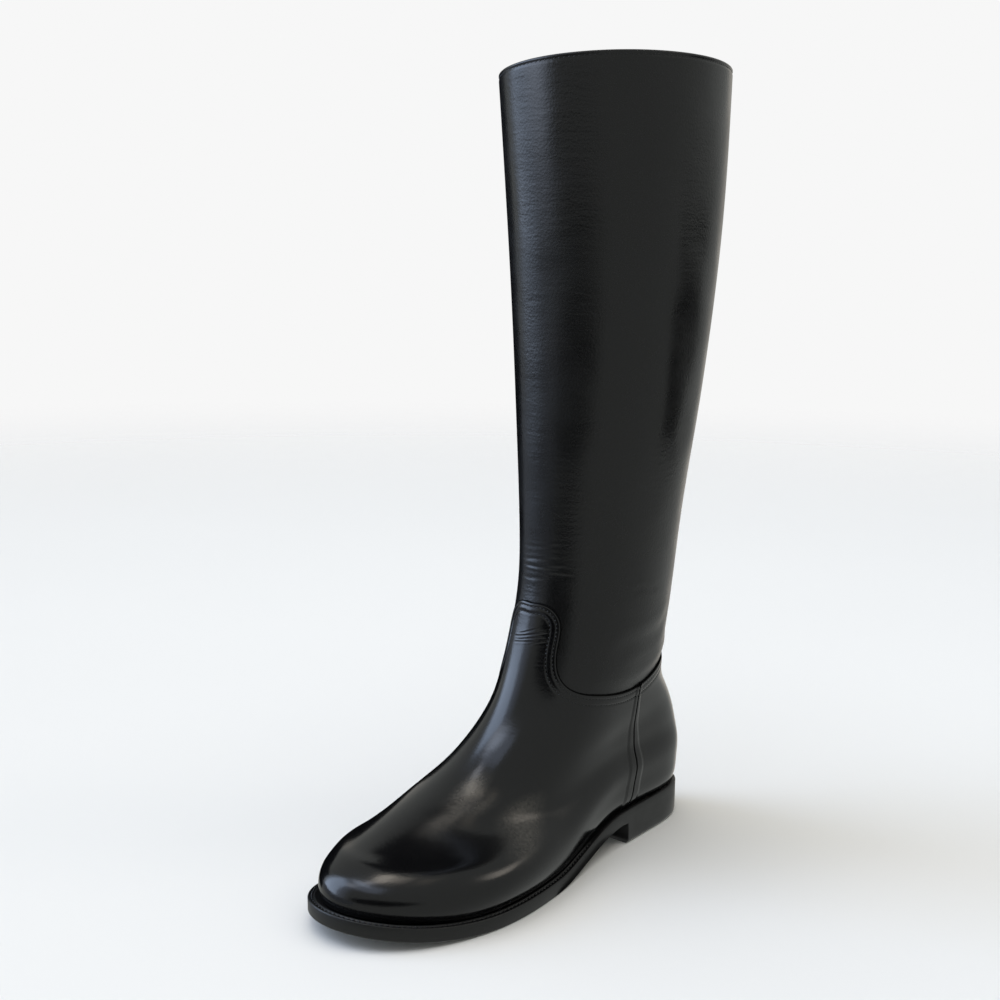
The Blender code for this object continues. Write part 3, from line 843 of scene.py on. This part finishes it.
welt = {
    "columns": 560, "stitchLine": 2.1, "plainEnd": 88.0, "plainBlend": 35.0,
    "under": 7.0, "recess": -0.9, "foot": -2.4,
    # drawn in from the edge, height over the welt's top in the forepart: lip, stitch groove, ridge, then the
    # recess by the upper; and the height towards the heel, where the welt is plain
    "profile": ((1.0, -0.3, -0.1), (1.5, -0.38, -0.08), (1.8, -0.5, -0.08), (2.1, -0.55, -0.1),
                (2.4, -0.5, -0.2), (2.7, -0.3, -0.4), (3.0, 0.0, -0.6), (3.3, 0.2, -0.75),
                (3.6, 0.28, -0.8), (3.9, 0.2, -0.85), (4.3, -0.1, -0.9), (4.9, -0.5, -0.9),
                (5.8, -0.8, -0.9), (7.0, -0.9, -0.9)),
}


def makeWelt():
    count = welt["columns"]
    angle = np.linspace(0, 2 * math.pi, count, endpoint=False)
    layers = []
    for drawn, fore, rear in welt["profile"]:
        plan = solePlan(angle, drawn)
        forepart = smoothStep((plan[:, 1] - welt["plainEnd"]) / welt["plainBlend"])
        layers.append(raised(plan, seat, rear + (fore - rear) * forepart))
    plan = solePlan(angle, welt["under"], False)
    layers += [raised(plan, seat, welt["recess"]), raised(plan, seat, welt["foot"])]
    layers.append(raised(solePlan(angle, welt["profile"][0][0]), seat, welt["foot"]))
    faces = gridFaces(len(layers), count)
    end = (len(layers) - 1) * count
    for i in range(count):
        j = (i + 1) % count
        faces.append([end + i, end + j, j, i])
    return addPiece("weltRing", np.stack(layers), faces, weltInk, ("welt",), weld=True)


def breastAngle(side):
    # the breast's corner on one side, measured from the front
    low, high = 0.0, math.pi
    for _ in range(50):
        middle = (low + high) / 2
        if solePlan(np.array([side * middle]), 0.0)[0, 1] > last["heelLength"]:
            low = middle
        else:
            high = middle
    return middle


def makeSole():
    outer = breastAngle(1)
    inner = 2 * math.pi - breastAngle(-1)
    front = np.linspace(inner - 2 * math.pi, outer, sole["frontColumns"])
    heel = np.linspace(outer, inner, sole["heelColumns"])
    angle = np.concatenate([front[:-1], heel[:-1]])
    edge = solePlan(angle, 0.0)
    keep = smoothStep((edge[:, 1] - last["heelLength"]) / sole["breastBlend"])
    layers = [raised(solePlan(angle, drawn), seat, up) for drawn, up in sole["edgeTop"]]
    layers += [raised(solePlan(angle, drawn * keep), soleBottom, up) for drawn, up in sole["edgeFoot"]]
    rows, count = len(layers), len(angle)
    points = np.vstack(layers)
    faces = gridFaces(rows, count)
    turn = len(front) - 1  # the outer breast corner; the inner one is column 0

    def strips(start, columns):
        for i in range((len(columns) - 1) // 2):
            j = len(columns) - 1 - i
            quad = [start + columns[i], start + columns[i + 1], start + columns[j - 1], start + columns[j]]
            faces.append(list(dict.fromkeys(quad)))

    everyColumn = list(range(count))
    strips(0, everyColumn[turn // 2:] + everyColumn[:turn // 2 + 1])
    bottom = (rows - 1) * count
    strips(bottom, list(range(turn + 1)))
    # heel block below the outsole, on the same columns
    heelColumns = list(range(turn, count)) + [0]
    heelAngle = angle[heelColumns]
    upper = [bottom + c for c in heelColumns]
    radius = sole["heelRound"]
    for drawn, up in (*sole["heelWall"], *((a * radius, b * radius) for a, b in sole["heelFoot"])):
        plan = solePlan(heelAngle, drawn)
        plan[[0, -1], 1] = last["heelLength"]
        lower = list(range(len(points), len(points) + len(heelColumns)))
        points = np.vstack([points, np.column_stack([plan, np.full(len(plan), up)])])
        for k in range(len(heelColumns) - 1):
            faces.append([upper[k], upper[k + 1], lower[k + 1], lower[k]])
        faces.append([upper[-1], upper[0], lower[0], lower[-1]])
        upper = lower
    strips(0, upper)
    return addPiece("soleUnit", points, faces, soleInk, ("outsole", "heel"), weld=True)


sock = {"columns": 240, "inset": 2.2, "thick": 2.5, "cup": 1.2}


def makeSock():
    count, thick, cup = sock["columns"], sock["thick"], sock["cup"]
    angle = np.linspace(0, 2 * math.pi, count, endpoint=False)
    layers = []
    # drawn in from the wall, height over the welt: the rim stands up like a shallow cup
    for drawn, height in ((0.0, 0.0), (0.0, thick + cup), (1.2, thick + cup),
                          (4.0, thick + 0.4 * cup), (9.0, thick)):
        layers.append(raised(solePlan(angle, sock["inset"] + drawn, False), onWelt, height))
    faces = gridFaces(len(layers), count)
    for start in (0, (len(layers) - 1) * count):
        for i in range(count // 2):
            quad = [start + i, start + i + 1, start + count - i - 1, start + (count - i) % count]
            faces.append(list(dict.fromkeys(quad)))
    return addPiece("insoleSock", np.vstack(layers), faces, tanSock, ("insole",), weld=True)


makeWelt()
makeSole()
makeSock()
print("sole made")


# Stitches, laid along their rows by one node tree
def buildStitchTree():
    tree = bpy.data.node_groups.new("stitchRow", "GeometryNodeTree")
    inputs = {"Geometry": "Geometry", "Spacing": "Float", "Length": "Float", "Thickness": "Float",
              "Wobble": "Float", "Seed": "Int", "Thread": "Material"}
    for name, kind in inputs.items():
        tree.interface.new_socket(name, in_out="INPUT", socket_type="NodeSocket" + kind)
    tree.interface.new_socket("Geometry", in_out="OUTPUT", socket_type="NodeSocketGeometry")
    given = addNode(tree, "NodeGroupInput", {}).outputs
    path = addNode(tree, "GeometryNodeMeshToCurve", {"Mesh": given["Geometry"]})
    even = addNode(tree, "GeometryNodeResampleCurve",
                   {"Curve": path.outputs["Curve"], "Length": given["Spacing"]}, mode="LENGTH")
    lie = addNode(tree, "GeometryNodeInputNamedAttribute", {"Name": "lie"}, data_type="FLOAT_VECTOR")
    stand = addNode(tree, "FunctionNodeAlignRotationToVector", {"Vector": lie.outputs["Attribute"]}, axis="Z")
    along = addNode(tree, "GeometryNodeInputTangent", {})
    laid = addNode(tree, "FunctionNodeAlignRotationToVector",
                   {"Rotation": stand.outputs["Rotation"], "Vector": along.outputs["Tangent"]},
                   axis="X", pivot_axis="Z")
    bead = addNode(tree, "GeometryNodeMeshUVSphere", {"Segments": 8, "Rings": 6, "Radius": 0.5})
    size = addNode(tree, "ShaderNodeCombineXYZ",
                   {"X": given["Length"], "Y": given["Thickness"], "Z": given["Thickness"]})
    stitch = addNode(tree, "GeometryNodeTransform",
                     {"Geometry": bead.outputs["Mesh"], "Scale": size.outputs["Vector"]})
    least = calculated(tree, "SUBTRACT", 1.0, given["Wobble"])
    most = calculated(tree, "ADD", 1.0, given["Wobble"])
    vary = addNode(tree, "FunctionNodeRandomValue", {"Min": least, "Max": most, "Seed": given["Seed"]},
                   data_type="FLOAT")
    sewn = addNode(tree, "GeometryNodeInstanceOnPoints", {
        "Points": even.outputs["Curve"], "Instance": stitch.outputs["Geometry"],
        "Rotation": laid.outputs["Rotation"], "Scale": vary.outputs["Value"]})
    real = addNode(tree, "GeometryNodeRealizeInstances", {"Geometry": sewn.outputs["Instances"]})
    smooth = addNode(tree, "GeometryNodeSetShadeSmooth", {"Geometry": real.outputs["Geometry"]})
    dressed = addNode(tree, "GeometryNodeSetMaterial",
                      {"Geometry": smooth.outputs["Geometry"], "Material": given["Thread"]})
    addNode(tree, "NodeGroupOutput", {"Geometry": dressed.outputs["Geometry"]})
    return tree


stitchTree = buildStitchTree()


def sewRows(name, rows, look):
    # rows: lists of points with the direction that each stitch faces, in millimetres
    points, edges, ways = [], [], []
    for path, facing in rows:
        start = len(points)
        points += toFrame(path).tolist()
        ways += (toFrame(facing) - toFrame(np.zeros(3))).tolist()
        edges += [(start + i, start + i + 1) for i in range(len(path) - 1)]
    guide = bpy.data.meshes.new(name + "Guide")
    guide.from_pydata(points, edges, [])
    lie = guide.attributes.new("lie", "FLOAT_VECTOR", "POINT")
    lie.data.foreach_set("vector", np.array(ways, np.float32).ravel())
    carrier = bpy.data.objects.new(name + "Guide", guide)
    bpy.context.scene.collection.objects.link(carrier)
    modifier = carrier.modifiers.new("stitches", "NODES")
    modifier.node_group = stitchTree
    values = {"Wobble": look["wobble"], "Seed": look["seed"], "Thread": thread}
    for socket in ("Spacing", "Length", "Thickness"):
        values[socket] = look[socket.lower()] * mm
    for item in stitchTree.interface.items_tree:
        if item.in_out == "INPUT" and item.name in values:
            modifier[item.identifier] = values[item.name]
    evaluated = carrier.evaluated_get(bpy.context.evaluated_depsgraph_get())
    mesh = bpy.data.meshes.new_from_object(evaluated)
    carrier.modifiers.remove(modifier)
    bpy.data.objects.remove(carrier)
    mesh.name = name
    return placePiece(name, mesh)


def besideLine(angle, share, distance, tree):
    # the line on the last that runs this far beside another line, below it or to its rear
    points = lastPoint(angle, share)
    along = unit(np.gradient(points, axis=0))
    distance = np.broadcast_to(distance, angle.shape)
    target = points + np.cross(lastNormal(angle, share), along) * distance[:, None]
    for _ in range(6):
        roundWay, upWay = lastWays(angle, share)
        miss = target - lastPoint(angle, share)
        ways = np.stack([roundWay, upWay], axis=-1)
        step = np.einsum("nij,nj->ni", np.linalg.pinv(ways), miss)
        angle = angle + step[:, 0]
        share = np.clip(share + step[:, 1], 0.0, 1.0)
    # points that a tight turn folds back over the line are dropped
    _, gap = nearest(tree, lastPoint(angle, share))
    kept = gap > np.abs(distance) - 0.25
    return angle[kept], share[kept]


stitches = {
    "seam": {"spacing": 2.2, "length": 1.25, "thickness": 0.78, "wobble": 0.1, "seed": 4, "sink": 0.02},
    "side": {"spacing": 1.9, "length": 1.4, "thickness": 0.42, "wobble": 0.08, "seed": 7, "sink": 0.12,
             "clearOfSeam": 1.5, "clearOfWelt": 0.03},
    "collar": {"spacing": 2.6, "length": 1.7, "thickness": 0.72, "wobble": 0.08, "seed": 9, "sink": 0.1},
    "welt": {"spacing": 2.8, "length": 1.9, "thickness": 1.0, "wobble": 0.06, "seed": 11, "sink": 0.1,
             "clearOfPlain": 20.0},
}


def panelRow(angle, share, look):
    top, side, _, _ = edgeDistances(angle, share)
    lift = panelLift(top, np.abs(side), angle, share, lastPoint(angle, share)[:, 2]) - look["sink"]
    return skin(angle, share, lift), lastNormal(angle, share)


def sewSeam(look):
    rows = []
    for distance in (panel["firstRow"], panel["secondRow"]):
        rows.append(panelRow(*besideLine(seamAngle, seamShare, distance, seamTree), look))
    sewRows("seamStitches", rows, look)


def sewSides(look):
    rows = []
    for side in (1, -1):
        line = jointLine(lastPoint(side * jointAngle, jointShare)[:, 2])
        for distance in (line, -line):
            angle, share = besideLine(side * jointAngle, jointShare, distance, jointTree)
            top = edgeDistances(angle, share)[0]
            clear = (top > panel["secondRow"] + look["clearOfSeam"]) & (share > look["clearOfWelt"])
            rows.append(panelRow(angle[clear], share[clear], look))
    sewRows("sideStitches", rows, look)


allRound = np.linspace(0, 2 * math.pi, 700)


def sewCollar(look):
    share = 1.0 - shaft["stitchDrop"] / topRate(allRound)
    path = skin(allRound, share, shaftLift(allRound, share) - look["sink"])
    sewRows("collarStitches", [(path, lastNormal(allRound, share))], look)


def sewWelt(look):
    plan = solePlan(allRound - math.pi, welt["stitchLine"])
    plan = plan[plan[:, 1] > welt["plainEnd"] + look["clearOfPlain"]]
    path = raised(plan, seat, -look["sink"])
    sewRows("weltStitches", [(path, np.broadcast_to((0.0, 0.0, 1.0), path.shape))], look)


sewSeam(stitches["seam"])
sewSides(stitches["side"])
sewCollar(stitches["collar"])
sewWelt(stitches["welt"])
print("stitches sewn")


# Floor, light and camera
def directionTo(azimuth, elevation):
    # azimuth from the toe's side (-Y) towards the outer side (+X), in degrees
    a, e = math.radians(azimuth), math.radians(elevation)
    return Vector((math.sin(a) * math.cos(e), -math.cos(a) * math.cos(e), math.sin(e)))


studio = {
    "floorSize": 12.0, "floor": "#e6e4e0", "floorDim": 0.97, "floorCloud": 600.0, "floorFade": (0.7, 2.6),
    "backdrop": 0.93, "black": "#050505", "overhead": {"height": 2.5, "size": 3.0, "brightness": 1.45},
    # black blocks, for the mirror image only: low and high corner
    "flags": {
        "inner": ((-0.15, 0.015, 0.0), (-0.085, 0.15, 0.46)),
        "innerLow": ((-0.165, -0.14, 0.0), (-0.085, 0.015, 0.055)),
        # the two blocks under and beside the arch are painted shade: they stand for the shade under the arch,
        # and only the mirror image shows them
        "underArchShade": ((-0.1, -0.05, 0.0), (0.045, 0.055, 0.0015)),
        "besideArchShade": ((-0.06, -0.02, 0.0), (-0.04, 0.07, 0.02)),
    },
    # soft-edged upright screens, for the mirror image only:
    # azimuth, distance, height of the centre, half sizes, where the oval edge starts to thin out, glow
    "screens": {
        "blackCloth": (24.0, 0.8, 0.12, (0.62, 0.2), 0.5, 0.0),
        "paleCloth": (-26.0, 0.27, 0.48, (0.18, 0.18), 0.05, 4.8),
    },
    # flat cards, for the mirror image only and clear from below:
    # azimuths, radii, height, where they fade, colour
    "cards": {
        "windowCard": ((-95.0, 0.0), (0.2, 4.5), 0.001, (1.5, 4.2), "#8a8c90"),
        "rightCard": ((134.0, 160.0), (0.5, 8.0), 0.11, (4.5, 7.8), "#101010"),
    },
}
# what the leather mirrors, painted on the surround in this order:
# azimuth, elevation, half width, half height, softness, brightness, colour
surround = {
    "ground": (0.0, 0.0, 400.0, 400.0, 1.0, 0.44, "#fbfffb"),
    "glow": (-48.0, 30.0, 26.0, 32.0, 10.0, 1.2, "#dbe8ff"),
    "window": (-57.0, 25.0, 18.0, 27.0, 6.0, 4.2, "#cfe2ff"),
    "windowTop": (-13.0, 62.0, 37.0, 12.5, 5.0, 1.65, "#dbe8ff"),
    "behind": (215.0, -2.0, 28.0, 25.0, 6.0, 0.72, "#fffaf0"),
    "shade": (213.0, 57.0, 30.0, 13.0, 4.0, 0.0, "#ffffff"),
}
# small lamps: azimuth, elevation, half angle, softness, brightness, colour
lamps = {
    "windowEdge": (-38.0, 54.0, 8.0, 5.0, 3.0, "#e4edff"),
    "front": (-58.0, 75.0, 4.0, 2.5, 4.2, "#f4f6ff"),
    "highLeft": (-97.0, 80.0, 5.0, 2.5, 6.2, "#fff6e8"),
    "high": (-152.0, 86.0, 3.5, 2.5, 3.0, "#fff6e8"),
    "highRight": (126.0, 78.0, 3.5, 2.5, 1.1, "#fff6e8"),
    "side": (135.0, 46.0, 6.5, 4.0, 3.2, "#fff6ea"),
}


def stagePiece(name, points, faces, material):
    mesh = bpy.data.meshes.new(name)
    mesh.from_pydata(points, [], faces)
    mesh.materials.append(material)
    piece = bpy.data.objects.new(name, mesh)
    bpy.context.scene.collection.objects.link(piece)
    return piece


def mirrorOnly(piece):
    piece.visible_camera = piece.visible_diffuse = piece.visible_shadow = False


def fadeOut(tree, place, board, start, end):
    # turns a flat board clear with distance from its middle, and from behind
    far = addNode(tree, "ShaderNodeVectorMath", {0: place}, operation="LENGTH").outputs["Value"]
    fade = ranged(tree, far, (start, end), interpolation_type="SMOOTHSTEP")
    behind = addNode(tree, "ShaderNodeNewGeometry", {}).outputs["Backfacing"]
    clear = addNode(tree, "ShaderNodeBsdfTransparent", {})
    shown = addNode(tree, "ShaderNodeMixShader", {
        0: calculated(tree, "MAXIMUM", fade, behind), 1: board.outputs["BSDF"], 2: clear.outputs["BSDF"]})
    addNode(tree, "ShaderNodeOutputMaterial", {"Surface": shown.outputs["Shader"]})


def makeFloor():
    half = studio["floorSize"] / 2
    # painted board, matt: an even pale ground that fades into the backdrop
    material, tree, place = startMaterial("paleFloor")
    pale = linear(studio["floor"])
    dim = [studio["floorDim"] * part for part in pale[:3]] + [1.0]
    board = addNode(tree, "ShaderNodeBsdfPrincipled", {
        "Base Color": mixed(tree, noise(tree, place, studio["floorCloud"], 2.0), dim, pale),
        "Roughness": 0.9, "Specular IOR Level": 0.1})
    fadeOut(tree, place, board, *studio["floorFade"])
    corners = [(-half, -half, 0), (half, -half, 0), (half, half, 0), (-half, half, 0)]
    floor = stagePiece("floor", corners, [(0, 1, 2, 3)], material)
    floor.visible_glossy = False  # the leather mirrors the dim surround instead of the floor


def dull(tint):
    return {"Base Color": linear(tint), "Roughness": 1.0, "Specular IOR Level": 0.0}


def makeFlags():
    # dull black card
    material, tree, _ = startMaterial("blackCard")
    finishMaterial(tree, dull(studio["black"]))
    sides = [(0, 1, 3, 2), (4, 6, 7, 5), (0, 4, 5, 1), (2, 3, 7, 6), (0, 2, 6, 4), (1, 5, 7, 3)]
    for name, (low, high) in studio["flags"].items():
        corners = [(x, y, z) for x in (low[0], high[0]) for y in (low[1], high[1]) for z in (low[2], high[2])]
        mirrorOnly(stagePiece(name + "Flag", corners, sides, material))


def makeScreens():
    for name, (azimuth, distance, height, (wide, tall), soft, glow) in studio["screens"].items():
        # dull cloth, black or lit from behind, thinning out towards an oval edge
        material, tree, place = startMaterial(name)
        cloth = addNode(tree, "ShaderNodeBsdfPrincipled", {
            **dull(studio["black"]), "Emission Color": linear("#dbe8ff"), "Emission Strength": glow})
        fadeOut(tree, stretched(tree, place, (1 / wide, 1.0, 1 / tall)), cloth, soft, 1.0)
        corners = [(-wide, 0, -tall), (wide, 0, -tall), (wide, 0, tall), (-wide, 0, tall)]
        screen = stagePiece(name, corners, [(3, 2, 1, 0)], material)
        screen.location = directionTo(azimuth, 0.0) * distance + Vector((0.0, 0.0, height))
        screen.rotation_euler.z = math.radians(azimuth)
        mirrorOnly(screen)


def makeCards():
    for name, (span, (near, far), height, fade, tint) in studio["cards"].items():
        # matt card, thinning out with distance
        material, tree, place = startMaterial(name)
        board = addNode(tree, "ShaderNodeBsdfPrincipled", dull(tint))
        fadeOut(tree, place, board, *fade)
        ways = [directionTo(a, 0.0) for a in np.linspace(*span, 20)]
        rim = [way * far for way in ways] + [way * near for way in reversed(ways)]
        points = [(p.x, p.y, height) for p in rim]
        mirrorOnly(stagePiece(name, points, [list(range(len(points)))], material))


def makeOverhead():
    # soft top light for the floor; it leaves no mirror image
    look = studio["overhead"]
    light = bpy.data.lights.new("overhead", "AREA")
    light.size = look["size"]
    light.energy = look["brightness"] * math.pi * look["size"] ** 2
    lamp = bpy.data.objects.new("overhead", light)
    lamp.location = (0.0, 0.0, look["height"])
    lamp.visible_camera = lamp.visible_glossy = False
    bpy.context.scene.collection.objects.link(lamp)


def makeSurround():
    world = bpy.data.worlds.new("surround")
    bpy.context.scene.world = world
    world.use_nodes = True
    tree = world.node_tree
    tree.nodes.clear()
    way = addNode(tree, "ShaderNodeTexCoord", {}).outputs["Generated"]
    parts = addNode(tree, "ShaderNodeSeparateXYZ", {"Vector": way}).outputs
    toToe = calculated(tree, "MULTIPLY", parts["Y"], -1.0)
    azimuth = calculated(tree, "ARCTAN2", parts["X"], toToe)
    elevation = calculated(tree, "ARCSINE", parts["Z"])

    def within(value, half, soft):
        edge = (math.radians(half - soft), math.radians(half + soft))
        return ranged(tree, value, edge, (1.0, 0.0), interpolation_type="SMOOTHSTEP")

    def painted(base, share, brightness, colour):
        paint = [brightness * part for part in linear(colour)[:3]] + [1.0]
        return mixed(tree, share, base, paint)

    colour = [0.0, 0.0, 0.0, 1.0]
    for a, e, wide, tall, soft, brightness, code in surround.values():
        off = calculated(tree, "SUBTRACT", azimuth, math.radians(a))
        off = calculated(tree, "WRAP", off, math.pi, -math.pi)
        rise = calculated(tree, "SUBTRACT", elevation, math.radians(e))
        beside = within(calculated(tree, "ABSOLUTE", off), wide, soft)
        level = within(calculated(tree, "ABSOLUTE", rise), tall, soft)
        colour = painted(colour, calculated(tree, "MULTIPLY", beside, level), brightness, code)
    for a, e, half, soft, brightness, code in lamps.values():
        inputs = {0: way, 1: directionTo(a, e)}
        facing = addNode(tree, "ShaderNodeVectorMath", inputs, operation="DOT_PRODUCT").outputs["Value"]
        apart = calculated(tree, "ARCCOSINE", facing)
        colour = painted(colour, within(apart, half, soft), brightness, code)
    seen = addNode(tree, "ShaderNodeLightPath", {}).outputs["Is Camera Ray"]
    colour = painted(colour, seen, studio["backdrop"], "#ffffff")
    glow = addNode(tree, "ShaderNodeBackground", {"Color": colour})
    addNode(tree, "ShaderNodeOutputWorld", {"Surface": glow.outputs["Background"]})


# the viewpoint, matched to the boot's outline
view = {
    "azimuth": 42.93, "pitch": 9.81, "roll": 0.65, "distance": 760.7, "lens": 50.24, "sensor": 36.0,
    "target": (-20.1, 126.0, 201.1),
}


def makeCamera():
    lens = bpy.data.cameras.new("camera")
    lens.sensor_width, lens.lens, lens.sensor_fit = view["sensor"], view["lens"], "HORIZONTAL"
    lens.clip_start, lens.clip_end = 0.01, 50.0
    camera = bpy.data.objects.new("camera", lens)
    turn = (Matrix.Rotation(math.radians(view["azimuth"]), 4, "Z")
            @ Matrix.Rotation(math.radians(90.0 - view["pitch"]), 4, "X")
            @ Matrix.Rotation(math.radians(view["roll"]), 4, "Z"))
    target = Vector(toFrame(np.array(view["target"])))
    away = directionTo(view["azimuth"], view["pitch"]) * view["distance"] * mm
    camera.matrix_world = Matrix.Translation(target + away) @ turn
    bpy.context.scene.collection.objects.link(camera)
    bpy.context.scene.camera = camera


makeFloor()
makeFlags()
makeScreens()
makeCards()
makeOverhead()
makeSurround()
makeCamera()
bpy.context.scene.view_settings.view_transform = "Standard"
print("studio ready")
